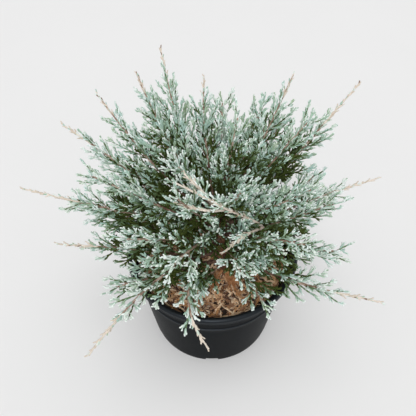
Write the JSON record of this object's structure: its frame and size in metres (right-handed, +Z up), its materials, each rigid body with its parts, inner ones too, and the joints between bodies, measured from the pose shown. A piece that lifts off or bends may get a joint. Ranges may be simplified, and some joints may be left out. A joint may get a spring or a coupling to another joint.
{
  "type": "potted juniper",
  "caption": "Spreading blue juniper shrub with arching leafy shoots fanning out of a short leaning trunk, growing in bark mix in a squat black plastic nursery pot.",
  "frame": {"origin": "centre of the pot's flat underside", "axes": "+Z up, -Y towards the viewer of the picture, +X to the viewer's right"},
  "size_m": [0.5221, 0.4285, 0.4894],
  "materials": {
    "pot_plastic": "moulded black plastic with a soft sheen",
    "bark_mix": "shredded bark over potting mix",
    "trunk_bark": "stringy reddish brown bark",
    "bough_bark": "thin pinkish brown bark",
    "foliage": "silvery blue scale leaves"
  },
  "bodies": {
    "root": {"bough_back": "bough_bark", "bough_back_left": "bough_bark", "bough_back_right": "bough_bark", "bough_front": "bough_bark", "bough_front_left": "bough_bark", "bough_left": "bough_bark", "bough_left_back": "bough_bark", "bough_left_front": "bough_bark", "bough_mid_back": "bough_bark", "bough_mid_back_left": "bough_bark", "bough_mid_back_right": "bough_bark", "bough_mid_left": "bough_bark", "bough_mid_left_back": "bough_bark", "bough_mid_left_front": "bough_bark", "bough_mid_right": "bough_bark", "bough_mid_right_back": "bough_bark", "bough_mid_right_front": "bough_bark", "bough_right": "bough_bark", "bough_right_back": "bough_bark", "bough_right_long": "bough_bark", "mass_back": "foliage", "mass_back_left": "foliage", "mass_back_right": "foliage", "mass_front": "foliage", "mass_front_left": "foliage", "mass_front_right": "foliage", "mass_leader": "foliage", "mass_left": "foliage", "mass_left_back": "foliage", "mass_left_front": "foliage", "mass_mid_back": "foliage", "mass_mid_back_left": "foliage", "mass_mid_back_right": "foliage", "mass_mid_front": "foliage", "mass_mid_front_left": "foliage", "mass_mid_front_right": "foliage", "mass_mid_left": "foliage", "mass_mid_left_back": "foliage", "mass_mid_left_front": "foliage", "mass_mid_right": "foliage", "mass_mid_right_back": "foliage", "mass_mid_right_front": "foliage", "mass_right": "foliage", "mass_right_back": "foliage", "mass_right_long": "foliage", "mass_top_back": "foliage", "mass_top_back_left": "foliage", "mass_top_back_right": "foliage", "mass_top_front": "foliage", "mass_top_front_left": "foliage", "mass_top_front_right": "foliage", "mass_top_left": "foliage", "mass_top_left_back": "foliage", "mass_top_left_front": "foliage", "mass_top_right": "foliage", "mass_top_right_back": "foliage", "pot": "pot_plastic", "potting_mix": "bark_mix", "trunk": "trunk_bark"}
  },
  "joints": []
}
